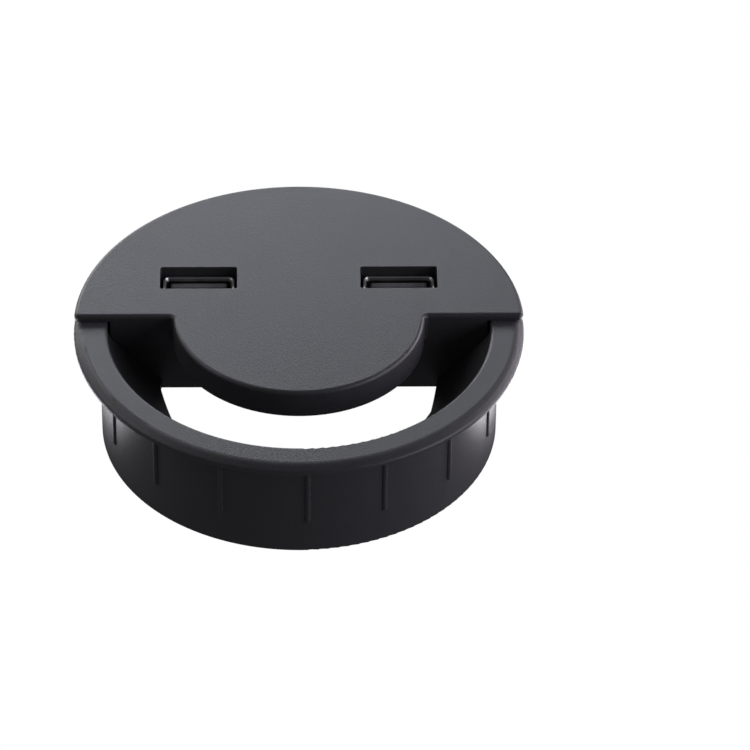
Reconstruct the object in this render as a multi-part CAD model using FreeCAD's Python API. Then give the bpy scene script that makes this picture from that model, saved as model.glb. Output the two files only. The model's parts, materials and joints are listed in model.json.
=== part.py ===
"""Desk grommet, 88 mm across, with a lift-out cover that carries two upright USB-A sockets.

Millimetres.  The origin is on the grommet's axis at the flange's underside, where it meets the
desk top.  +Z is up out of the desk, and the cable opening faces -Y.
"""
import FreeCAD, Part
import math
import os

V = FreeCAD.Vector
UP = V(0, 0, 1)

# Sleeve: flange, barrel and cable funnel
FLANGE_R = 44.0
FLANGE_T = 1.7
FLANGE_SHOULDER_R = 42.4
FLANGE_SHOULDER_ROUND = 2.5
FLANGE_RIM_T = 0.8
FLANGE_RIM_ROUND = 0.8
FLANGE_UNDER_ROUND = 0.2
MOUTH_ROUND = 0.6
EDGE_BREAK = 0.3
BARREL_R = 39.0
BARREL_IN_R = 37.45
BARREL_BOTTOM = -22.9
LAND_R = 39.5
LAND_H = 3.4
LAND_ROUND = 0.4
RIB_R = 0.55
RIB_CREST_R = 39.45
RIB_END_Z = -15.8
FRONT_RIB_ANGLES = (-157.0, -135.3, -112.9, -87.8, -65.4, -42.4, -19.8)
BACK_RIB_COUNT = 9
FUNNEL_TOP_Z = 0.4
FUNNEL_BEND_Z = -1.4
FUNNEL_BEND_ROUND = 5.0
FUNNEL_END_R = 26.5
FUNNEL_END_Z = -13.65
FUNNEL_T = 1.6
FUNNEL_BACK_Y = 0.8
LIP_FLAT_COUNT = 16
LIP_FLAT_R = 26.85
LIP_FLAT_ANGLE = -76.2

# Cover plate with its tongue and skirt
COVER_T = 1.4
COVER_TOP = FLANGE_T + COVER_T
FRONT_Y = 1.2
TONGUE_R = 24.6
TONGUE_Y = 1.8
SKIRT_T = 1.6
SKIRT_BOTTOM = -2.7
SPIGOT_R = 36.9
TONGUE_CORNER_ROUND = 1.0
COVER_CORNER_ROUND = 1.0
COVER_TOP_ROUND = 0.8
TONGUE_RIB_X = 8.0
TONGUE_RIB_T = 1.2
TONGUE_RIB_H = 2.4
BOSS_R = 3.0
BOSS_HOLE_TOP = 0.6

# Port windows in the cover, and the sockets under them
PORT_X = 19.75
PORT_Y = 13.4
WINDOW_W = 15.2
WINDOW_D = 7.0
WINDOW_CORNER = 0.5
COLLAR_T = 1.2
COLLAR_BOTTOM = -0.7
SHELL_MOUTH_Z = 0.9
SHELL_IN_W = 12.5
SHELL_IN_D = 5.12
SHELL_T = 0.3
SHELL_CORNER = 0.5
LIP_FLARE = 0.5
LIP_H = 0.9
FINGER_W = 2.2
FINGER_L = 5.0
FINGER_X = 3.1
FINGER_TOP_Z = -1.8
FINGER_SLOT = 0.35
LEG_W = 1.5
LEG_Y = 1.5
SOCKET_BASE_H = 2.2
SOCKET_FIT = 0.05
TONGUE_BLADE_W = 11.1
TONGUE_BLADE_T = 1.84
TONGUE_BLADE_FRONT = 0.04
TONGUE_BLADE_TOP = 0.45
TONGUE_BLADE_CHAMFER = 0.35
CONTACT_PITCH = (-3.5, -1.0, 1.0, 3.5)
CONTACT_W = 1.0
CONTACT_T = 0.25
CONTACT_LONG_TOP = -0.7
CONTACT_SHORT_TOP = -1.7
CONTACT_TAIL_W = 0.5

# Housing
HOUSING_BOTTOM = -15.0
HOUSING_T = 1.6
RISER_HALF_W = 22.5
RISER_TOP = 1.6
GUIDE_T = 0.75
GUIDE_GAP = 0.1
GUIDE_TOP = -1.2
GUIDE_ROOT = -4.7
PILLAR_R = 3.2
PILLAR_PLACES = ((-30.3, 7.0), (30.3, 7.0), (0.0, 30.5))
SCREW_SEAT_Z = -5.7
COUNTERBORE_R = 2.35
STANDOFF_R = 2.4
BOARD_SCREW_PLACES = ((-24.0, 20.5), (24.0, 20.5), (0.0, 6.0))

# Circuit board and what is on it
BOARD_T = 1.6
BOARD_TOP = -10.0
BOARD_R = 33.4
BOARD_FRONT_Y = 3.6
BOARD_PILLAR_GAP = 0.4
CORD_WINDOW_R = 5.5
TAIL_BOTTOM = -12.8
TAIL_HOLE_R = 0.45
LEG_SLOT_GAP = 0.1
CHIP_PLACE = (13.0, 24.0)
CHIP_SIZE = (9.9, 3.9, 1.45)
CHIP_STANDOFF = 0.15
LEAD_PITCH = 1.27
LEADS_PER_SIDE = 8
LEAD_W = 0.42
LEAD_T = 0.2
LEAD_REACH = 1.05
CRYSTAL_PLACE = (-8.5, 9.3)
CRYSTAL_BODY = (3.8, 10.2, 3.1)
CRYSTAL_FOOT = (4.6, 11.0, 0.4)
BULK_PLACES = ((-9.5, 26.5), (-17.0, 23.0))
BULK_FOOT = (6.6, 6.6, 0.9)
BULK_R = 3.15
BULK_H = 5.4
CERAMIC_PLACES = ((-8.5, 19.3), (-11.0, 19.3), (5.5, 26.5), (21.0, 23.5))
RESISTOR_PLACES = ((8.5, 19.0), (11.0, 19.0), (13.5, 19.0), (16.0, 19.0))
CHIP_PART_SIZE = (1.25, 2.0)
CERAMIC_H = 0.9
RESISTOR_H = 0.5
FUSE_PLACE = (8.5, 8.0)
FUSE_SIZE = (3.2, 4.5, 0.9)
HEADER_Y = 11.0
HEADER_SIZE = (9.9, 4.5, 6.0)
HEADER_WALL = 0.8
HEADER_FLOOR = 1.5
HEADER_PITCH = (-3.0, -1.0, 1.0, 3.0)
HEADER_PIN_W = 0.5
HEADER_PIN_TOP = -5.4

# Cord gland
GLAND_Y = 20.0
GLAND_NECK_R = 4.0
GLAND_HOLE_R = 4.05
GLAND_FLANGE_R = 5.2
GLAND_BORE_R = 2.25
GLAND_INNER_H = 1.2
GLAND_OUTER_H = 1.6
GLAND_ROUND = 0.5

# Screws
CASE_SCREW_R = 1.3
CASE_SCREW_L = 5.6
CASE_HEAD_R = 2.15
CASE_HEAD_H = 1.6
BOARD_SCREW_R = 1.0
BOARD_SCREW_L = 3.9
BOARD_HEAD_R = 1.9
BOARD_HEAD_H = 1.3
SCREW_FIT = 0.02
SCREW_CLEARANCE = 0.15
SCREW_RECESS = 0.35


def box(x0, x1, y0, y1, z0, z1):
    return Part.makeBox(x1 - x0, y1 - y0, z1 - z0, V(x0, y0, z0))


def centred_box(place, size, z0):
    """A box of size (x, y, z) standing at z0, centred on the (x, y) place."""
    x, y = place
    width, depth, height = size
    return box(x - width / 2, x + width / 2, y - depth / 2, y + depth / 2, z0, z0 + height)


def disc(radius, z0, z1, x=0.0, y=0.0):
    return Part.makeCylinder(radius, z1 - z0, V(x, y, z0))


def joined(shapes):
    """One solid from several that touch or overlap."""
    whole = shapes[0].fuse(list(shapes[1:])) if len(shapes) > 1 else shapes[0]
    return whole.removeSplitter()


def rounded_face(corners):
    """A face in the XZ plane from (x, z, radius) corners, each rounded by its own radius."""
    places = [V(x, 0, z) for x, z, radius in corners]
    edges = []
    starts = []
    ends = []
    for i, (x, z, radius) in enumerate(corners):
        here = places[i]
        back = (places[i - 1] - here).normalize()
        on = (places[(i + 1) % len(places)] - here).normalize()
        if radius == 0:
            starts.append(here)
            ends.append(here)
            continue
        half_angle = back.getAngle(on) / 2
        trim = radius / math.tan(half_angle)
        inwards = (back + on).normalize()
        centre = here + inwards * (radius / math.sin(half_angle))
        starts.append(here + back * trim)
        ends.append(here + on * trim)
        edges.append(Part.Arc(starts[i], centre - inwards * radius, ends[i]).toShape())
    for i in range(len(places)):
        start = ends[i - 1]
        end = starts[i]
        if start.distanceToPoint(end) > 1e-6:
            edges.append(Part.LineSegment(start, end).toShape())
    return Part.Face(Part.Wire(Part.__sortEdges__(edges)))


def turned(corners, x=0.0, y=0.0):
    """The solid of revolution of a rounded (radius, z) outline about an upright axis."""
    solid = rounded_face(corners).revolve(V(0, 0, 0), UP, 360)
    solid.translate(V(x, y, 0))
    return solid


def rounded_slab(place, width, depth, corner, z0, z1):
    """An upright prism with a rounded rectangular section."""
    slab = centred_box(place, (width, depth, z1 - z0), z0)
    uprights = [edge for edge in slab.Edges if abs(edge.tangentAt(edge.FirstParameter).z) > 0.9]
    return slab.makeFillet(corner, uprights)


def edges_at(shape, z):
    """The edges of a shape that lie wholly at one height."""
    return [e for e in shape.Edges if all(abs(v.Z - z) < 1e-6 for v in e.Vertexes)
            and abs(e.BoundBox.ZLength) < 1e-6]


def port_places():
    return {"left": (-PORT_X, PORT_Y), "right": (PORT_X, PORT_Y)}


# Sleeve

def crush_rib(angle_deg):
    """A half-round upright rib on the barrel that ends in a dome."""
    top = -LAND_H / 2
    bar = Part.makeCylinder(RIB_R, top - RIB_END_Z - RIB_R, V(0, 0, RIB_END_Z + RIB_R))
    dome = Part.makeSphere(RIB_R, V(0, 0, RIB_END_Z + RIB_R))
    rib = bar.fuse(dome).removeSplitter()
    rib.translate(V(RIB_CREST_R - RIB_R, 0, 0))
    rib.rotate(V(0, 0, 0), UP, angle_deg)
    return rib


def lip_opening():
    """The prism that leaves the funnel's lip as a ring of short flats."""
    corner_r = LIP_FLAT_R / math.cos(math.pi / LIP_FLAT_COUNT)
    pitch = 360 / LIP_FLAT_COUNT
    corners = []
    for i in range(LIP_FLAT_COUNT + 1):
        angle = math.radians(LIP_FLAT_ANGLE + pitch * (i + 0.5))
        corners.append(V(corner_r * math.cos(angle), corner_r * math.sin(angle), BARREL_BOTTOM))
    return Part.Face(Part.makePolygon(corners)).extrude(UP * (FUNNEL_TOP_Z - BARREL_BOTTOM))


def funnel():
    """The front half's cable funnel, which narrows from the barrel to a lip."""
    fall = V(FUNNEL_END_R - BARREL_IN_R, 0, FUNNEL_END_Z - FUNNEL_BEND_Z).normalize()
    under_end = V(FUNNEL_END_R, 0, FUNNEL_END_Z) + V(-fall.z, 0, fall.x) * FUNNEL_T
    root_r = (BARREL_IN_R + BARREL_R) / 2
    root_z = under_end.z + (root_r - under_end.x) * fall.z / fall.x
    cone = turned([
        (root_r, FUNNEL_TOP_Z, 0),
        (BARREL_IN_R, FUNNEL_TOP_Z, 0),
        (BARREL_IN_R, FUNNEL_BEND_Z, FUNNEL_BEND_ROUND),
        (FUNNEL_END_R, FUNNEL_END_Z, 0),
        (under_end.x, under_end.z, 0),
        (root_r, root_z, 0)])
    behind = box(-FLANGE_R, FLANGE_R, FUNNEL_BACK_Y, FLANGE_R, BARREL_BOTTOM, FLANGE_T)
    return cone.cut(behind).cut(lip_opening())


def rib_angles():
    """The front ribs are about 22.5 degrees apart but not evenly, and the back ones fill the rest."""
    last = FRONT_RIB_ANGLES[-1]
    pitch = (FRONT_RIB_ANGLES[0] + 360 - last) / (BACK_RIB_COUNT + 1)
    return list(FRONT_RIB_ANGLES) + [last + pitch * (i + 1) for i in range(BACK_RIB_COUNT)]


def grommet_sleeve():
    ring = turned([
        (BARREL_IN_R, BARREL_BOTTOM, EDGE_BREAK),
        (BARREL_R, BARREL_BOTTOM, EDGE_BREAK),
        (BARREL_R, -LAND_H, 0),
        (LAND_R, -LAND_H, LAND_ROUND),
        (LAND_R, 0, 0),
        (FLANGE_R, 0, FLANGE_UNDER_ROUND),
        (FLANGE_R, FLANGE_RIM_T, FLANGE_RIM_ROUND),
        (FLANGE_SHOULDER_R, FLANGE_T, FLANGE_SHOULDER_ROUND),
        (BARREL_IN_R, FLANGE_T, MOUTH_ROUND)])
    bore = disc(BARREL_IN_R, BARREL_BOTTOM, -LAND_H / 2)
    ribs = [crush_rib(angle).cut(bore) for angle in rib_angles()]
    return joined([ring, funnel()] + ribs)


# Cover

def half_disc(radius, front_y, z0, z1):
    """A disc about the grommet's axis without what lies in front of front_y."""
    in_front = box(-radius, radius, -radius, front_y, z0, z1)
    return disc(radius, z0, z1).cut(in_front)


def cover_outline(back_r, inset, z0, z1):
    """The half disc and the tongue in one, drawn in by inset along the front."""
    back = half_disc(back_r, FRONT_Y + inset, z0, z1)
    return back.fuse(disc(TONGUE_R - inset, z0, z1, 0, TONGUE_Y)).removeSplitter()


def with_rounded_front(blank):
    """Round the upright corners beside the tongue and at the cover's two tips."""
    inner = []
    tips = []
    for edge in blank.Edges:
        if abs(edge.tangentAt(edge.FirstParameter).z) < 0.9 or edge.BoundBox.YMin > FRONT_Y + 0.01:
            continue
        reach = abs(edge.BoundBox.Center.x)
        if abs(reach - TONGUE_R) < 0.5:
            inner.append(edge)
        elif reach > SPIGOT_R + 0.5:
            tips.append(edge)
    blank = blank.makeFillet(TONGUE_CORNER_ROUND, inner)
    tip_centres = [edge.BoundBox.Center for edge in tips]
    tips = [edge for edge in blank.Edges
            if any(edge.BoundBox.Center.distanceToPoint(c) < 1e-3 for c in tip_centres)]
    return blank.makeFillet(COVER_CORNER_ROUND, tips)


def port_window(place):
    return rounded_slab(place, WINDOW_W, WINDOW_D, WINDOW_CORNER, COLLAR_BOTTOM - 1, COVER_TOP + 1)


def port_collar(place):
    return rounded_slab(place, WINDOW_W + 2 * COLLAR_T, WINDOW_D + 2 * COLLAR_T,
                        WINDOW_CORNER + COLLAR_T, COLLAR_BOTTOM, FLANGE_T)


def cover_plate():
    skirt = cover_outline(SPIGOT_R, 0, SKIRT_BOTTOM, FLANGE_T)
    blank = joined([cover_outline(FLANGE_R, 0, FLANGE_T, COVER_TOP), skirt])
    blank = with_rounded_front(blank)
    blank = blank.makeFillet(COVER_TOP_ROUND, edges_at(blank, COVER_TOP))
    hollow = cover_outline(SPIGOT_R - SKIRT_T, SKIRT_T, SKIRT_BOTTOM, FLANGE_T)
    shell = blank.cut(hollow)
    bosses = [disc(BOSS_R, SKIRT_BOTTOM, FLANGE_T, x, y) for x, y in PILLAR_PLACES]
    collars = [port_collar(place) for place in port_places().values()]
    stiffener_reach = math.sqrt(TONGUE_R ** 2 - TONGUE_RIB_X ** 2) - SKIRT_T / 2
    stiffeners = [box(x - TONGUE_RIB_T / 2, x + TONGUE_RIB_T / 2, TONGUE_Y - stiffener_reach,
                      0, FLANGE_T - TONGUE_RIB_H, FLANGE_T) for x in (-TONGUE_RIB_X, TONGUE_RIB_X)]
    body = joined([shell] + bosses + collars + stiffeners)
    holes = [disc(CASE_SCREW_R + SCREW_FIT, SKIRT_BOTTOM, BOSS_HOLE_TOP, x, y)
             for x, y in PILLAR_PLACES]
    windows = [port_window(place) for place in port_places().values()]
    return body.cut(holes + windows)


# Housing

def guide_rim():
    """A thin rim on the housing's curved wall that stands up inside the cover's skirt."""
    wall_in_r = SPIGOT_R - HOUSING_T
    root = disc(wall_in_r, GUIDE_ROOT, SKIRT_BOTTOM)
    rim = disc(wall_in_r - GUIDE_GAP, SKIRT_BOTTOM, GUIDE_TOP)
    inside = disc(wall_in_r - GUIDE_GAP - GUIDE_T, GUIDE_ROOT, GUIDE_TOP)
    in_front = box(-SPIGOT_R, SPIGOT_R, -SPIGOT_R, FRONT_Y + 2 * HOUSING_T, GUIDE_ROOT, GUIDE_TOP)
    gaps = [disc(BOSS_R + GUIDE_GAP, SKIRT_BOTTOM, GUIDE_TOP, x, y) for x, y in PILLAR_PLACES]
    return root.fuse(rim).cut([inside, in_front] + gaps)


def module_housing():
    floor_z = HOUSING_BOTTOM + HOUSING_T
    tub = half_disc(SPIGOT_R, FRONT_Y, HOUSING_BOTTOM, SKIRT_BOTTOM)
    bottom_edges = edges_at(tub, HOUSING_BOTTOM)
    tub = tub.makeFillet(EDGE_BREAK, bottom_edges)
    tub = tub.cut(half_disc(SPIGOT_R - HOUSING_T, FRONT_Y + HOUSING_T, floor_z, SKIRT_BOTTOM))
    riser = box(-RISER_HALF_W, RISER_HALF_W, FRONT_Y, FRONT_Y + HOUSING_T, SKIRT_BOTTOM, RISER_TOP)
    pillars = [disc(PILLAR_R, HOUSING_BOTTOM, SKIRT_BOTTOM, x, y) for x, y in PILLAR_PLACES]
    standoffs = [disc(STANDOFF_R, HOUSING_BOTTOM, BOARD_TOP - BOARD_T, x, y)
                 for x, y in BOARD_SCREW_PLACES]
    body = joined([tub, riser, guide_rim()] + pillars + standoffs)
    counterbores = [disc(COUNTERBORE_R, HOUSING_BOTTOM, SCREW_SEAT_Z, x, y)
                    for x, y in PILLAR_PLACES]
    passages = [disc(CASE_SCREW_R + SCREW_CLEARANCE, SCREW_SEAT_Z, SKIRT_BOTTOM, x, y)
                for x, y in PILLAR_PLACES]
    pilots = [disc(BOARD_SCREW_R + SCREW_FIT, BOARD_TOP - BOARD_SCREW_L - EDGE_BREAK,
                   BOARD_TOP - BOARD_T, x, y) for x, y in BOARD_SCREW_PLACES]
    cord_hole = disc(GLAND_HOLE_R, HOUSING_BOTTOM, floor_z, 0, GLAND_Y)
    return body.cut(counterbores + passages + pilots + [cord_hole])


def cord_gland():
    """A rubber bushing whose two flanges clip over the housing's floor."""
    floor_z = HOUSING_BOTTOM + HOUSING_T
    low = HOUSING_BOTTOM - GLAND_OUTER_H
    high = floor_z + GLAND_INNER_H
    return turned([
        (GLAND_BORE_R, low, 0),
        (GLAND_FLANGE_R, low, GLAND_ROUND),
        (GLAND_FLANGE_R, HOUSING_BOTTOM, 0),
        (GLAND_NECK_R, HOUSING_BOTTOM, 0),
        (GLAND_NECK_R, floor_z, 0),
        (GLAND_FLANGE_R, floor_z, 0),
        (GLAND_FLANGE_R, high, GLAND_ROUND),
        (GLAND_BORE_R, high, 0)], 0, GLAND_Y)


# Circuit board

def shell_leg_boxes(place, gap):
    """The four legs' places under a socket shell, widened by gap on every side."""
    x, y = place
    side = SHELL_IN_W / 2 + SHELL_T / 2
    size = (SHELL_T + 2 * gap, LEG_W + 2 * gap, BOARD_TOP - TAIL_BOTTOM)
    return [centred_box((x + side * sx, y + LEG_Y * sy), size, TAIL_BOTTOM)
            for sx in (-1, 1) for sy in (-1, 1)]


def contact_tail_y(place):
    return place[1] + TONGUE_BLADE_FRONT + CONTACT_T / 2


def circuit_board():
    bottom = BOARD_TOP - BOARD_T
    board = half_disc(BOARD_R, BOARD_FRONT_Y, bottom, BOARD_TOP)
    cuts = [disc(PILLAR_R + BOARD_PILLAR_GAP, bottom, BOARD_TOP, x, y) for x, y in PILLAR_PLACES]
    for x, y in PILLAR_PLACES[:2]:
        rim = math.copysign(BOARD_R, x)
        near = x - math.copysign(PILLAR_R + BOARD_PILLAR_GAP, x)
        cuts.append(box(min(near, rim), max(near, rim), BOARD_FRONT_Y, y, bottom, BOARD_TOP))
    cuts.append(disc(CORD_WINDOW_R, bottom, BOARD_TOP, 0, GLAND_Y))
    cuts += [disc(BOARD_SCREW_R + SCREW_CLEARANCE, bottom, BOARD_TOP, x, y)
             for x, y in BOARD_SCREW_PLACES]
    cuts += [disc(TAIL_HOLE_R, bottom, BOARD_TOP, x, HEADER_Y) for x in HEADER_PITCH]
    for place in port_places().values():
        cuts += [disc(TAIL_HOLE_R, bottom, BOARD_TOP, place[0] + x, contact_tail_y(place))
                 for x in CONTACT_PITCH]
        cuts += shell_leg_boxes(place, LEG_SLOT_GAP)
    return board.cut(cuts)


def controller_chip():
    body = centred_box(CHIP_PLACE, CHIP_SIZE, BOARD_TOP + CHIP_STANDOFF)
    return body.makeChamfer(EDGE_BREAK / 2, edges_at(body, BOARD_TOP + CHIP_STANDOFF + CHIP_SIZE[2]))


def gull_wing(x, side):
    """One lead: a shoulder out of the chip's side, a drop, and a foot on the board."""
    y = CHIP_PLACE[1] + side * CHIP_SIZE[1] / 2
    shoulder_z = BOARD_TOP + CHIP_STANDOFF + CHIP_SIZE[2] / 2
    knee = y + side * LEAD_REACH * 0.4
    toe = y + side * LEAD_REACH

    def bar(y0, y1, z0, z1):
        return box(x - LEAD_W / 2, x + LEAD_W / 2, min(y0, y1), max(y0, y1), z0, z1)
    shoulder = bar(y, knee, shoulder_z, shoulder_z + LEAD_T)
    drop = bar(knee - side * LEAD_T, knee, BOARD_TOP, shoulder_z + LEAD_T)
    foot = bar(knee - side * LEAD_T, toe, BOARD_TOP, BOARD_TOP + LEAD_T)
    return joined([shoulder, drop, foot])


def chip_leads():
    first = CHIP_PLACE[0] - LEAD_PITCH * (LEADS_PER_SIDE - 1) / 2
    return [gull_wing(first + LEAD_PITCH * i, side) for side in (-1, 1) for i in range(LEADS_PER_SIDE)]


def crystal_can():
    foot_top = BOARD_TOP + CRYSTAL_FOOT[2]
    foot = rounded_slab(CRYSTAL_PLACE, CRYSTAL_FOOT[0], CRYSTAL_FOOT[1], CRYSTAL_FOOT[0] * 0.49,
                        BOARD_TOP, foot_top)
    can = rounded_slab(CRYSTAL_PLACE, CRYSTAL_BODY[0], CRYSTAL_BODY[1], CRYSTAL_BODY[0] * 0.49,
                       foot_top, foot_top + CRYSTAL_BODY[2])
    can = can.makeFillet(EDGE_BREAK, edges_at(can, foot_top + CRYSTAL_BODY[2]))
    return joined([foot, can])


def bulk_capacitor(place):
    foot = centred_box(place, BULK_FOOT, BOARD_TOP)
    foot_top = BOARD_TOP + BULK_FOOT[2]
    can = turned([
        (0, foot_top, 0),
        (BULK_R, foot_top, 0),
        (BULK_R, foot_top + BULK_H, EDGE_BREAK),
        (0, foot_top + BULK_H, 0)], *place)
    return joined([foot, can])


def bulk_capacitors():
    return [bulk_capacitor(place) for place in BULK_PLACES]


def ceramic_capacitors():
    return [centred_box(place, CHIP_PART_SIZE + (CERAMIC_H,), BOARD_TOP) for place in CERAMIC_PLACES]


def chip_resistors():
    return [centred_box(place, CHIP_PART_SIZE + (RESISTOR_H,), BOARD_TOP) for place in RESISTOR_PLACES]


def resettable_fuse():
    return centred_box(FUSE_PLACE, FUSE_SIZE, BOARD_TOP)


def header_pin(x, gap):
    side = HEADER_PIN_W + 2 * gap
    return centred_box((x, HEADER_Y), (side, side, HEADER_PIN_TOP - TAIL_BOTTOM), TAIL_BOTTOM)


def cord_header():
    width, depth, height = HEADER_SIZE
    shroud = centred_box((0, HEADER_Y), HEADER_SIZE, BOARD_TOP)
    well = centred_box((0, HEADER_Y), (width - 2 * HEADER_WALL, depth - 2 * HEADER_WALL, height),
                       BOARD_TOP + HEADER_FLOOR)
    return shroud.cut([well] + [header_pin(x, 0) for x in HEADER_PITCH])


def header_pins():
    return [header_pin(x, 0) for x in HEADER_PITCH]


# Sockets

def shell_lip(place, grow):
    """The shell's mouth, which flares out to meet the plug; grow widens the section."""
    width = SHELL_IN_W + 2 * grow
    depth = SHELL_IN_D + 2 * grow
    corner = SHELL_CORNER + grow
    sections = []
    for rise, flare in ((0.0, 0.0), (0.45, 0.12), (0.8, 0.35), (1.0, LIP_FLARE / LIP_H * 0.9)):
        spread = flare * LIP_H
        z = SHELL_MOUTH_Z - LIP_H + rise * LIP_H
        slab = rounded_slab(place, width + 2 * spread, depth + 2 * spread, corner + spread, z, z + 1)
        face = [f for f in slab.Faces if abs(f.BoundBox.ZMax - z) < 1e-6][0]
        sections.append(face.OuterWire)
    return Part.makeLoft(sections, True, False)


def finger_slots(place):
    """U-shaped slots that free two spring fingers on each broad side of the shell."""
    x, y = place
    slots = []
    for side in (-1, 1):
        wall = y + side * (SHELL_IN_D + SHELL_T) / 2
        near = wall - SHELL_T
        far = wall + SHELL_T
        for centre in (x - FINGER_X, x + FINGER_X):
            left = centre - FINGER_W / 2
            right = centre + FINGER_W / 2
            low = FINGER_TOP_Z - FINGER_L
            outline = box(left - FINGER_SLOT, right + FINGER_SLOT, near, far, low - FINGER_SLOT,
                          FINGER_TOP_Z)
            slots.append(outline.cut(box(left, right, near, far, low, FINGER_TOP_Z)))
    return slots


def port_shell(place):
    lip_root = SHELL_MOUTH_Z - LIP_H
    outer = rounded_slab(place, SHELL_IN_W + 2 * SHELL_T, SHELL_IN_D + 2 * SHELL_T,
                         SHELL_CORNER + SHELL_T, BOARD_TOP, lip_root)
    inner = rounded_slab(place, SHELL_IN_W, SHELL_IN_D, SHELL_CORNER, BOARD_TOP, lip_root)
    solid = joined([outer, shell_lip(place, SHELL_T)] + shell_leg_boxes(place, 0))
    return solid.cut([inner, shell_lip(place, 0)]).cut(finger_slots(place))


def port_contacts(place):
    """Four strips on the front of the socket's blade, with tails down through the board."""
    x, y = place
    front = y + TONGUE_BLADE_FRONT
    base_top = BOARD_TOP + SOCKET_BASE_H
    contacts = []
    for offset in CONTACT_PITCH:
        top = CONTACT_LONG_TOP if abs(offset) > CONTACT_W else CONTACT_SHORT_TOP
        strip = box(x + offset - CONTACT_W / 2, x + offset + CONTACT_W / 2, front,
                    front + CONTACT_T, base_top - 1, top)
        tail = box(x + offset - CONTACT_TAIL_W / 2, x + offset + CONTACT_TAIL_W / 2, front,
                   front + CONTACT_T, TAIL_BOTTOM, base_top - 1)
        contacts.append(joined([strip, tail]))
    return contacts


def port_insulator(place):
    x, y = place
    base_top = BOARD_TOP + SOCKET_BASE_H
    base = rounded_slab(place, SHELL_IN_W - 2 * SOCKET_FIT, SHELL_IN_D - 2 * SOCKET_FIT,
                        SHELL_CORNER, BOARD_TOP, base_top)
    front = y + TONGUE_BLADE_FRONT
    blade = box(x - TONGUE_BLADE_W / 2, x + TONGUE_BLADE_W / 2, front, front + TONGUE_BLADE_T,
                BOARD_TOP, TONGUE_BLADE_TOP)
    blade = blade.makeChamfer(TONGUE_BLADE_CHAMFER, edges_at(blade, TONGUE_BLADE_TOP))
    return joined([base, blade]).cut(port_contacts(place))


# Screws

def cross_recess(x, y, z_low, z_high, reach):
    slot = (2 * reach, SCREW_RECESS * 2)
    depth = z_high - z_low
    along_x = centred_box((x, y), (slot[0], slot[1], depth), z_low)
    along_y = centred_box((x, y), (slot[1], slot[0], depth), z_low)
    return along_x.fuse(along_y)


def screw(place, radius, length, head_r, head_h, seat_z, way):
    """A pan-head screw seated at seat_z; way is +1 if its shank points up, -1 if down."""
    x, y = place
    tip = seat_z + way * length
    crown = seat_z - way * head_h
    profile = [
        (0, tip, 0),
        (radius, tip, radius * 0.4),
        (radius, seat_z, 0),
        (head_r, seat_z, 0),
        (head_r, crown, head_h * 0.45),
        (0, crown, 0)]
    recess_floor = crown + way * head_h * 0.55
    recess = cross_recess(x, y, min(crown, recess_floor), max(crown, recess_floor), head_r * 0.55)
    return turned(profile, x, y).cut(recess)


def housing_screws():
    return [screw(place, CASE_SCREW_R, CASE_SCREW_L, CASE_HEAD_R, CASE_HEAD_H, SCREW_SEAT_Z, 1)
            for place in PILLAR_PLACES]


def board_screws():
    return [screw(place, BOARD_SCREW_R, BOARD_SCREW_L, BOARD_HEAD_R, BOARD_HEAD_H, BOARD_TOP, -1)
            for place in BOARD_SCREW_PLACES]


def save(node, shape):
    """Write one node; a list of separate solids becomes one group."""
    whole = Part.makeCompound(shape) if isinstance(shape, list) else shape
    bad = [solid for solid in whole.Solids if not solid.isValid() or solid.Volume <= 0]
    if bad or not whole.Solids:
        raise ValueError(node + " isn't a sound solid")
    if not isinstance(shape, list) and len(whole.Solids) != 1:
        raise ValueError(node + " came out as %d solids" % len(whole.Solids))
    whole.exportStep("parts/" + node + ".step")
    print("%-22s %2d solids %10.2f mm3" % (node, len(whole.Solids), whole.Volume))


def main():
    os.makedirs("parts", exist_ok=True)
    save("grommet_sleeve", grommet_sleeve())
    save("cover_plate", cover_plate())
    save("module_housing", module_housing())
    save("cord_gland", cord_gland())
    save("circuit_board", circuit_board())
    for side, place in port_places().items():
        save("port_shell_" + side, port_shell(place))
        save("port_insulator_" + side, port_insulator(place))
        save("port_contacts_" + side, port_contacts(place))
    save("controller_chip", controller_chip())
    save("chip_leads", chip_leads())
    save("crystal_can", crystal_can())
    save("bulk_capacitors", bulk_capacitors())
    save("ceramic_capacitors", ceramic_capacitors())
    save("chip_resistors", chip_resistors())
    save("resettable_fuse", resettable_fuse())
    save("cord_header", cord_header())
    save("header_pins", header_pins())
    save("housing_screws", housing_screws())
    save("board_screws", board_screws())


main()
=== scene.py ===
import json
import math

import bpy
from mathutils import Matrix, Vector


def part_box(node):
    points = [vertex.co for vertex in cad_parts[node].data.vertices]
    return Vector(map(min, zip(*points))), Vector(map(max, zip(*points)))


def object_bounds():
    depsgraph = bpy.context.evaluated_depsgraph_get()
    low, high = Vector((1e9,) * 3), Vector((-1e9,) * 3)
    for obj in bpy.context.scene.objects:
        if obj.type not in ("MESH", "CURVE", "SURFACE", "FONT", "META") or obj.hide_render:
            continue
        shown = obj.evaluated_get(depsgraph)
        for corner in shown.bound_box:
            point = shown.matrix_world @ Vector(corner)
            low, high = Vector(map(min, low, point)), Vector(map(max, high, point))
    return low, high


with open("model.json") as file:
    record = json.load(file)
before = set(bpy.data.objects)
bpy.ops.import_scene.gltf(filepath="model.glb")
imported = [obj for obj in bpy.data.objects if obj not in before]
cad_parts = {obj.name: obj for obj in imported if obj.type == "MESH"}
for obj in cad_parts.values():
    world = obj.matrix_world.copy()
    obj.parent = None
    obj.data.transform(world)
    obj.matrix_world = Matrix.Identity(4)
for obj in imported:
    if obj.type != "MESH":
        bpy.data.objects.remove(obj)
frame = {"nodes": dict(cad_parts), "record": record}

CAD_LOW, CAD_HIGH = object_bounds()

# Lengths are in metres, angles in degrees and light power in watts, and the camera's lens is in millimetres
MM = 0.001

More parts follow.
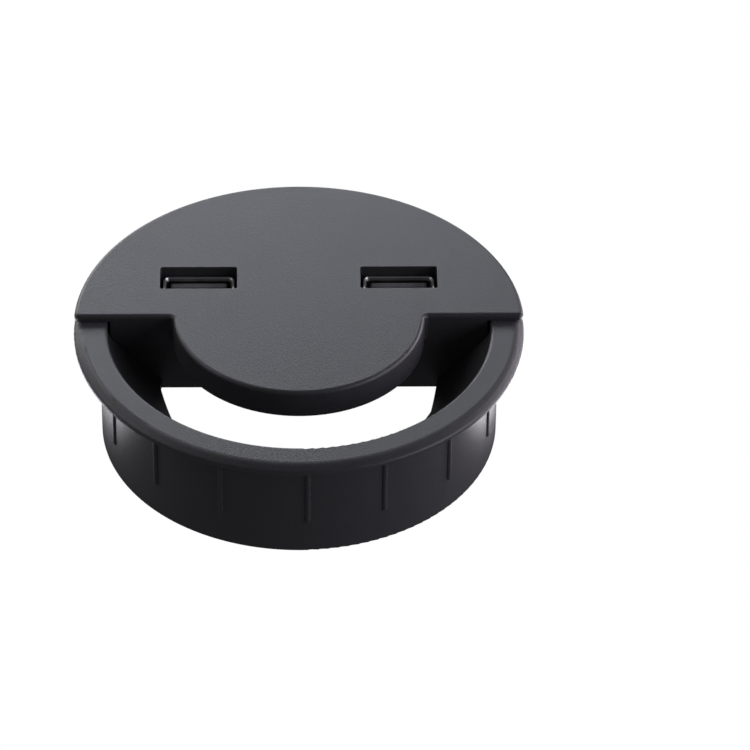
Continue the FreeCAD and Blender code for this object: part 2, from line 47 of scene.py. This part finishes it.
CAMERA_ELEVATION = 38.72
CAMERA_AZIMUTH = -1.35
CAMERA_DISTANCE = 0.9739
CAMERA_ROLL = 0.637
CAMERA_AIM = Vector((0.01495, 0.0, -0.0109))
CAMERA_LENS_MM = 237.3
CAMERA_SENSOR_MM = 36.0
CAMERA_NEAR = 0.01
CAMERA_FAR = 50.0

FLOOR_SIZE = 6.0
FLOOR_GAP = 0.05 * MM
FLOOR_GLOW = 0.13
WORLD_GLOW = 0.06
GLOW_COLOUR = (0.95, 0.92, 1.0, 1.0)

STUDIO_CENTRE = Vector((0.0, 0.0, -0.010))
SOFTBOX_DISTANCE = 0.60

# Name: azimuth and elevation as seen from the grommet, width and height, power, colour
SOFTBOXES = {
    "back_wall": (188, 24, (0.42, 0.18), 1.56, (0.87, 0.92, 1.0)),
    "back_low": (208, 12, (0.34, 0.24), 0.9, (1.0, 0.94, 0.97)),
    "overhead_left": (225, 55, (0.34, 0.30), 0.20, (0.97, 0.93, 1.0)),
    "left_side": (262, 36, (0.34, 0.30), 0.62, (0.94, 0.92, 1.0)),
    "right_back": (122, 16, (0.40, 0.34), 2.3, (0.97, 0.90, 1.0)),
    "right_front": (70, 16, (0.50, 0.34), 1.6, (0.88, 0.87, 1.0)),
}

# Name: azimuth, power and colour of the small white cards lying just above the floor beside the barrel
CARDS = {
    "right_card": (100, 0.065, (0.97, 0.95, 1.0)),
    "left_card": (260, 0.044, (0.97, 0.95, 1.0)),
}
CARD_DISTANCE = 0.074
CARD_SIZE = 0.048
CARD_HEIGHT = 0.5 * MM

# Smooth noise runs from 0 to 1, and nearly all of it lies between these
NOISE_LOW = 0.3
NOISE_HIGH = 0.7

# A Mix node has sockets of every type.  These are the places of its factor and of its colours
MIX_FACTOR = 0
MIX_FIRST_COLOUR = 6
MIX_SECOND_COLOUR = 7
MIX_RESULT_COLOUR = 2


# Stage

def make_camera():
    """A long lens, looking down on the cable opening's side."""
    data = bpy.data.cameras.new("camera")
    data.lens = CAMERA_LENS_MM
    data.sensor_width = CAMERA_SENSOR_MM
    data.clip_start = CAMERA_NEAR
    data.clip_end = CAMERA_FAR
    camera = bpy.data.objects.new("camera", data)
    bpy.context.scene.collection.objects.link(camera)
    turn = Matrix.Rotation(math.radians(CAMERA_AZIMUTH), 3, "Z")
    tilt = Matrix.Rotation(math.radians(90.0 - CAMERA_ELEVATION), 3, "X")
    roll = Matrix.Rotation(math.radians(CAMERA_ROLL), 3, "Z")
    look = turn @ tilt @ roll
    camera.location = CAMERA_AIM + look @ Vector((0.0, 0.0, CAMERA_DISTANCE))
    camera.rotation_euler = look.to_euler()
    bpy.context.scene.camera = camera


def direction(azimuth, elevation):
    """The unit vector that way.  Azimuth 0 is -Y, where the cable opening faces, and 90 is +X."""
    turn = math.radians(azimuth)
    rise = math.radians(elevation)
    return Vector((math.sin(turn) * math.cos(rise), -math.cos(turn) * math.cos(rise), math.sin(rise)))


def add_area_light(name, place, facing, size, power, colour):
    """A rectangular light that the camera doesn't see."""
    data = bpy.data.lights.new(name, "AREA")
    data.shape = "RECTANGLE"
    data.size, data.size_y = size
    data.energy = power
    data.color = colour
    light = bpy.data.objects.new(name, data)
    light.location = place
    light.rotation_euler = facing.to_track_quat("-Z", "Y").to_euler()
    light.visible_camera = False
    bpy.context.scene.collection.objects.link(light)


def make_lights():
    """Softboxes that face the grommet, and cards that face up."""
    for name, (azimuth, elevation, size, power, colour) in SOFTBOXES.items():
        way = direction(azimuth, elevation)
        add_area_light(name, STUDIO_CENTRE + SOFTBOX_DISTANCE * way, -way, size, power, colour)
    for name, (azimuth, power, colour) in CARDS.items():
        place = CARD_DISTANCE * direction(azimuth, 0)
        place.z = CAD_LOW.z + CARD_HEIGHT
        add_area_light(name, place, Vector((0.0, 0.0, 1.0)), (CARD_SIZE, CARD_SIZE), power, colour)


class Graph:
    """A material's node tree, built with short calls.  Texture coordinates are metres in the part's frame."""

    def __init__(self, name):
        self.material = bpy.data.materials.new(name)
        self.material.use_nodes = True
        self.tree = self.material.node_tree
        self.shader = next(node for node in self.tree.nodes if node.type == "BSDF_PRINCIPLED")
        self.output = next(node for node in self.tree.nodes if node.type == "OUTPUT_MATERIAL")
        self.place = self.node("ShaderNodeTexCoord").outputs["Object"]

    def feed(self, socket, value):
        """Link another node's socket, or set a plain value."""
        if isinstance(value, bpy.types.NodeSocket):
            self.tree.links.new(value, socket)
        else:
            socket.default_value = value

    def node(self, kind, **settings):
        made = self.tree.nodes.new(kind)
        for name, value in settings.items():
            setattr(made, name, value)
        return made

    def maths(self, operation, first, second=0.0):
        made = self.node("ShaderNodeMath", operation=operation)
        self.feed(made.inputs[0], first)
        self.feed(made.inputs[1], second)
        return made.outputs[0]

    def axis(self, letter):
        """The place along X, Y or Z."""
        made = self.node("ShaderNodeSeparateXYZ")
        self.feed(made.inputs[0], self.place)
        return made.outputs[letter]

    def stretched(self, x, y, z):
        """The place scaled along each axis, for grain that runs one way."""
        made = self.node("ShaderNodeVectorMath", operation="MULTIPLY")
        self.feed(made.inputs[0], self.place)
        made.inputs[1].default_value = (x, y, z)
        return made.outputs[0]

    def noise(self, feature, detail=2.0, rough=0.5, where=None):
        """Smooth noise from 0 to 1 whose blotches are about one feature across."""
        made = self.node("ShaderNodeTexNoise")
        self.feed(made.inputs["Vector"], where or self.place)
        made.inputs["Scale"].default_value = 1.0 / feature
        made.inputs["Detail"].default_value = detail
        made.inputs["Roughness"].default_value = rough
        return made.outputs["Fac"]

    def cells(self, feature):
        """How far the place is from the middle of its cell, for cells about one feature across."""
        made = self.node("ShaderNodeTexVoronoi")
        self.feed(made.inputs["Vector"], self.place)
        made.inputs["Scale"].default_value = 1.0 / feature
        return made.outputs["Distance"]

    def span(self, value, low, high, to_low=0.0, to_high=1.0):
        """Carry low..high to to_low..to_high, held at the ends."""
        made = self.node("ShaderNodeMapRange")
        names = ("Value", "From Min", "From Max", "To Min", "To Max")
        for name, number in zip(names, (value, low, high, to_low, to_high)):
            self.feed(made.inputs[name], number)
        return made.outputs[0]

    def spread(self, noise, to_low=0.0, to_high=1.0):
        """Carry smooth noise to to_low..to_high."""
        return self.span(noise, NOISE_LOW, NOISE_HIGH, to_low, to_high)

    def blend(self, factor, first, second):
        """The first colour where the factor is 0, and the second where it is 1."""
        made = self.node("ShaderNodeMix", data_type="RGBA")
        self.feed(made.inputs[MIX_FACTOR], factor)
        self.feed(made.inputs[MIX_FIRST_COLOUR], first)
        self.feed(made.inputs[MIX_SECOND_COLOUR], second)
        return made.outputs[MIX_RESULT_COLOUR]

    def bump(self, height, distance, strength=1.0, under=None):
        """The normal of a surface that rises by height times distance, on top of any bump under it."""
        made = self.node("ShaderNodeBump")
        made.inputs["Strength"].default_value = strength
        made.inputs["Distance"].default_value = distance
        self.feed(made.inputs["Height"], height)
        if under:
            self.feed(made.inputs["Normal"], under)
        return made.outputs[0]

    def sharp_edges(self, radius, edge_cosine, flat_cosine):
        """0 on flat faces and 1 on sharp edges, by the cosine between the true and a rounded normal."""
        rounded = self.node("ShaderNodeBevel", samples=4)
        rounded.inputs["Radius"].default_value = radius
        true = self.node("ShaderNodeNewGeometry").outputs["Normal"]
        cosine = self.node("ShaderNodeVectorMath", operation="DOT_PRODUCT")
        self.feed(cosine.inputs[0], rounded.outputs[0])
        self.feed(cosine.inputs[1], true)
        return self.span(cosine.outputs["Value"], flat_cosine, edge_cosine)

    def finish(self, colour, roughness, normal, metallic=0.0, **extra):
        """Feed the shader and give the finished material."""
        self.feed(self.shader.inputs["Base Color"], colour)
        self.feed(self.shader.inputs["Roughness"], roughness)
        self.feed(self.shader.inputs["Metallic"], metallic)
        self.feed(self.shader.inputs["Normal"], normal)
        for name, value in extra.items():
            self.feed(self.shader.inputs[name.replace("_", " ")], value)
        return self.material


def rgb(red, green, blue):
    return (red, green, blue, 1.0)


def grey(level):
    return rgb(level, level, level)


def seen_white(tree, white, glow, output):
    """White to the eye, and a dim glow to the object, which the softboxes light."""
    choice = tree.nodes.new("ShaderNodeMixShader")
    eye = tree.nodes.new("ShaderNodeLightPath")
    tree.links.new(eye.outputs["Is Camera Ray"], choice.inputs[0])
    tree.links.new(glow.outputs[0], choice.inputs[1])
    tree.links.new(white.outputs[0], choice.inputs[2])
    tree.links.new(choice.outputs[0], output.inputs["Surface"])


def hide_from_below(graph):
    """Let the floor be seen through from underneath, so that it doesn't cover the grommet's underside."""
    lit = graph.output.inputs["Surface"].links[0].from_socket
    side = graph.node("ShaderNodeMixShader")
    graph.feed(side.inputs[0], graph.node("ShaderNodeNewGeometry").outputs["Backfacing"])
    graph.feed(side.inputs[1], lit)
    graph.feed(side.inputs[2], graph.node("ShaderNodeBsdfTransparent").outputs[0])
    graph.feed(graph.output.inputs["Surface"], side.outputs[0])


def make_floor():
    """A plain white floor, just below the plane of the barrel's bottom rim."""
    bpy.ops.mesh.primitive_plane_add(size=FLOOR_SIZE, location=(0, 0, CAD_LOW.z - FLOOR_GAP))
    floor = bpy.context.object
    floor.name = "floor"
    graph = Graph("pale_floor")
    white = graph.node("ShaderNodeEmission")
    glow = graph.node("ShaderNodeEmission")
    glow.inputs["Color"].default_value = GLOW_COLOUR
    glow.inputs["Strength"].default_value = FLOOR_GLOW
    seen_white(graph.tree, white, glow, graph.output)
    hide_from_below(graph)
    floor.data.materials.append(graph.material)


def make_world():
    """A plain white backdrop all round."""
    world = bpy.data.worlds.new("studio")
    world.use_nodes = True
    tree = world.node_tree
    glow = tree.nodes["Background"]
    glow.inputs["Color"].default_value = GLOW_COLOUR
    glow.inputs["Strength"].default_value = WORLD_GLOW
    white = tree.nodes.new("ShaderNodeBackground")
    white.inputs["Color"].default_value = grey(1.0)
    seen_white(tree, white, glow, tree.nodes["World Output"])
    bpy.context.scene.world = world


# Materials

def charcoal_plastic():
    """Satin ABS from a spark-eroded mould: a fine pitted grain, faintly mottled, and a painted highlight that
    lightens its sharp edges, which are also a little glossier.
    """
    graph = Graph("charcoal_plastic")
    grain = graph.noise(0.42 * MM, detail=4.0, rough=0.65)
    pits = graph.cells(0.30 * MM)
    mottle = graph.noise(7.0 * MM, detail=3.0)
    height = graph.maths("ADD", grain, graph.maths("MULTIPLY", pits, 0.5))
    normal = graph.bump(height, distance=0.045 * MM, strength=0.7)
    edge = graph.sharp_edges(radius=0.25 * MM, edge_cosine=0.86, flat_cosine=0.985)
    body = graph.blend(graph.spread(mottle), rgb(0.041, 0.040, 0.044), rgb(0.045, 0.044, 0.048))
    body = graph.blend(graph.span(grain, 0.35, 0.65, 0.0, 0.25), body, grey(0.060))
    # Painted highlight: the colour is lightened along sharp edges.
    body = graph.blend(graph.maths("MULTIPLY", edge, 0.5), body, grey(0.075))
    roughness = graph.spread(mottle, 0.42, 0.46)
    roughness = graph.maths("SUBTRACT", roughness, graph.maths("MULTIPLY", edge, 0.1))
    roughness = graph.maths("ADD", roughness, graph.spread(grain, -0.03, 0.03))
    return graph.finish(body, roughness, normal)


def nickel_steel():
    """Nickel-plated stamped sheet with faint handling marks: painted shade darkens its faces below the top
    edge, and the top edge keeps the bright nickel colour.
    """
    lip_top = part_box("port_shell_left")[1].z
    lip_start = lip_top - 0.30 * MM
    lip_full = lip_top - 0.12 * MM
    graph = Graph("nickel_steel")
    lines = graph.noise(0.12 * MM, detail=3.0, where=graph.stretched(1.0, 1.0, 0.08))
    smudge = graph.noise(2.5 * MM, detail=2.0)
    # Painted shade: below the top 0.3 mm the sheet is darkened as if shaded in the recess, with handling
    # smudges on it.
    darkened = graph.blend(graph.span(smudge, 0.35, 0.65), rgb(0.20, 0.195, 0.19), rgb(0.27, 0.265, 0.255))
    colour = graph.blend(graph.span(graph.axis("Z"), lip_start, lip_full), darkened, rgb(0.62, 0.61, 0.59))
    roughness = graph.maths("ADD", graph.spread(smudge, 0.30, 0.38), graph.spread(lines, -0.05, 0.05))
    normal = graph.bump(lines, distance=0.003 * MM, strength=0.5)
    return graph.finish(colour, roughness, normal, metallic=1.0)


def socket_plastic():
    """Smooth glass-filled thermoplastic with faint flow marks."""
    graph = Graph("socket_plastic")
    flow = graph.noise(1.2 * MM, detail=4.0, where=graph.stretched(1.0, 1.0, 0.3))
    fibre = graph.noise(0.08 * MM, detail=2.0, where=graph.stretched(0.3, 1.0, 1.0))
    colour = graph.blend(graph.spread(flow), grey(0.15), rgb(0.19, 0.19, 0.20))
    normal = graph.bump(fibre, distance=0.004 * MM, strength=0.4)
    return graph.finish(colour, graph.spread(flow, 0.36, 0.46), normal)


def contact_gold():
    """Thin gold over nickel, with fine wipe marks down each strip."""
    graph = Graph("contact_gold")
    wipes = graph.noise(0.06 * MM, detail=3.0, where=graph.stretched(1.0, 1.0, 0.05))
    colour = graph.blend(graph.span(wipes, 0.35, 0.7), rgb(0.86, 0.62, 0.25), rgb(0.95, 0.74, 0.38))
    normal = graph.bump(wipes, distance=0.002 * MM)
    return graph.finish(colour, graph.spread(wipes, 0.18, 0.32), normal, metallic=1.0)


def upright_faces(graph):
    """1 on faces that stand upright, such as a board's cut edges, and 0 on level ones."""
    normals = graph.node("ShaderNodeSeparateXYZ")
    graph.feed(normals.inputs[0], graph.node("ShaderNodeTexCoord").outputs["Normal"])
    return graph.span(graph.maths("ABSOLUTE", normals.outputs["Z"]), 0.4, 0.6, 1.0, 0.0)


def board_laminate():
    """Green solder mask over copper tracks, and tan glass weave on the cut edges."""
    half_pitch_x = 0.65 * MM
    half_pitch_y = 0.8 * MM
    half_weave = 0.3 * MM
    graph = Graph("board_laminate")
    across_x = graph.maths("PINGPONG", graph.axis("X"), half_pitch_x)
    across_y = graph.maths("PINGPONG", graph.axis("Y"), half_pitch_y)
    region = graph.maths("GREATER_THAN", graph.cells(6.0 * MM), 0.42)
    track = graph.span(graph.blend(region, across_x, across_y), 0.20 * MM, 0.28 * MM, 1.0, 0.0)
    weave_x = graph.maths("PINGPONG", graph.axis("X"), half_weave)
    weave_y = graph.maths("PINGPONG", graph.axis("Y"), half_weave)
    weave = graph.bump(graph.maths("MULTIPLY", weave_x, weave_y), distance=1.0, strength=0.2)
    mask = graph.blend(track, rgb(0.008, 0.085, 0.030), rgb(0.018, 0.150, 0.055))
    upright = upright_faces(graph)
    colour = graph.blend(upright, mask, rgb(0.30, 0.23, 0.10))
    roughness = graph.span(upright, 0.0, 1.0, 0.22, 0.7)
    return graph.finish(colour, roughness, graph.bump(track, distance=0.02 * MM, strength=0.6, under=weave))


def moulded_epoxy():
    """Matt black epoxy with a fine even skin."""
    graph = Graph("chip_black")
    grain = graph.noise(0.05 * MM, detail=2.0)
    colour = graph.blend(grain, grey(0.014), grey(0.026))
    normal = graph.bump(grain, distance=0.006 * MM, strength=0.5)
    return graph.finish(colour, graph.spread(grain, 0.5, 0.62), normal)


def soft_metal(name, dark, light, smooth, rough, run=(1.0, 1.0, 1.0)):
    """Plated or drawn metal with fine marks, drawn out along any axis whose run is under 1."""
    mark = 0.1 * MM
    graph = Graph(name)
    marks = graph.noise(mark, detail=3.0, where=graph.stretched(*run))
    patches = graph.noise(12 * mark, detail=2.0)
    colour = graph.blend(graph.spread(patches), dark, light)
    roughness = graph.maths("ADD", graph.spread(patches, smooth, rough), graph.spread(marks, -0.04, 0.04))
    normal = graph.bump(marks, distance=0.003 * MM, strength=0.5)
    return graph.finish(colour, roughness, normal, metallic=1.0)


def capacitor_can():
    """A drawn aluminium can on a black moulded foot, with an inked polarity band on its top."""
    low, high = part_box("bulk_capacitors")
    foot_top = low.z + 0.9 * MM
    half_pitch = 3.4 * MM
    half_band = 0.9 * MM
    graph = Graph("capacitor_can")
    on_foot = graph.span(graph.axis("Z"), foot_top, foot_top + 0.02 * MM, 1.0, 0.0)
    on_top = graph.span(graph.axis("Z"), high.z - 0.05 * MM, high.z - 0.02 * MM)
    marks = graph.noise(0.08 * MM, detail=3.0, where=graph.stretched(1.0, 1.0, 0.06))
    band = graph.maths("LESS_THAN", graph.maths("PINGPONG", graph.axis("Y"), half_pitch), half_band)
    bare = graph.blend(graph.spread(marks), rgb(0.56, 0.57, 0.58), rgb(0.68, 0.69, 0.70))
    darkened = graph.maths("MAXIMUM", graph.maths("MULTIPLY", on_top, band), on_foot)
    colour = graph.blend(darkened, bare, grey(0.02))
    roughness = graph.span(darkened, 0.0, 1.0, 0.3, 0.55)
    normal = graph.bump(marks, distance=0.004 * MM, strength=0.5)
    return graph.finish(colour, roughness, normal, metallic=graph.maths("SUBTRACT", 1.0, darkened))


def chip_body(name, dark, light, smooth, rough):
    """A fired or printed chip body with a fine granular skin."""
    graph = Graph(name)
    grain = graph.noise(0.07 * MM, detail=3.0)
    cloud = graph.noise(0.8 * MM, detail=2.0)
    colour = graph.blend(graph.spread(cloud), dark, light)
    normal = graph.bump(grain, distance=0.005 * MM, strength=0.5)
    return graph.finish(colour, graph.spread(grain, smooth, rough), normal)


def header_nylon():
    """Cloudy natural nylon that lets a little light in."""
    graph = Graph("header_white")
    cloud = graph.noise(1.5 * MM, detail=3.0)
    colour = graph.blend(graph.spread(cloud), rgb(0.70, 0.68, 0.62), rgb(0.80, 0.78, 0.72))
    normal = graph.bump(cloud, distance=0.01 * MM, strength=0.3)
    return graph.finish(colour, graph.spread(cloud, 0.38, 0.48), normal,
                        Subsurface_Weight=0.2, Subsurface_Scale=1.0 * MM)


def gland_rubber():
    """Soft matt rubber with a bloom and a fine moulded skin."""
    graph = Graph("gland_rubber")
    skin = graph.noise(0.15 * MM, detail=3.0)
    bloom = graph.noise(2.0 * MM, detail=3.0)
    colour = graph.blend(graph.spread(bloom), grey(0.012), grey(0.022))
    normal = graph.bump(skin, distance=0.012 * MM, strength=0.5)
    return graph.finish(colour, graph.spread(bloom, 0.68, 0.8), normal)


def make_materials():
    """One finished material for each of the record's slots."""
    return {
        "charcoal_plastic": charcoal_plastic(),
        "nickel_steel": nickel_steel(),
        "socket_plastic": socket_plastic(),
        "contact_gold": contact_gold(),
        "board_laminate": board_laminate(),
        "chip_black": moulded_epoxy(),
        "tinned_copper": soft_metal("tinned_copper", grey(0.60), rgb(0.72, 0.72, 0.73), 0.25, 0.4),
        "crystal_steel": soft_metal("crystal_steel", rgb(0.62, 0.61, 0.59), rgb(0.72, 0.71, 0.70), 0.2, 0.32,
                                    run=(1.0, 0.06, 1.0)),
        "capacitor_can": capacitor_can(),
        "ceramic_tan": chip_body("ceramic_tan", rgb(0.33, 0.22, 0.12), rgb(0.42, 0.30, 0.18), 0.4, 0.55),
        "resistor_black": chip_body("resistor_black", grey(0.015), grey(0.03), 0.25, 0.4),
        "fuse_green": chip_body("fuse_green", rgb(0.02, 0.10, 0.05), rgb(0.04, 0.16, 0.08), 0.4, 0.55),
        "header_white": header_nylon(),
        "gland_rubber": gland_rubber(),
        "screw_steel": soft_metal("screw_steel", rgb(0.46, 0.47, 0.50), rgb(0.60, 0.61, 0.63), 0.28, 0.42),
    }


def dress_nodes():
    """Give every CAD node the finished material of its slot."""
    materials = make_materials()
    for part in frame["record"]["subparts"]:
        node = frame["nodes"][part["node"]]
        node.data.materials.clear()
        node.data.materials.append(materials[part["material_slot"]])


make_camera()
make_floor()
make_world()
make_lights()
bpy.context.scene.view_settings.view_transform = "Standard"
dress_nodes()
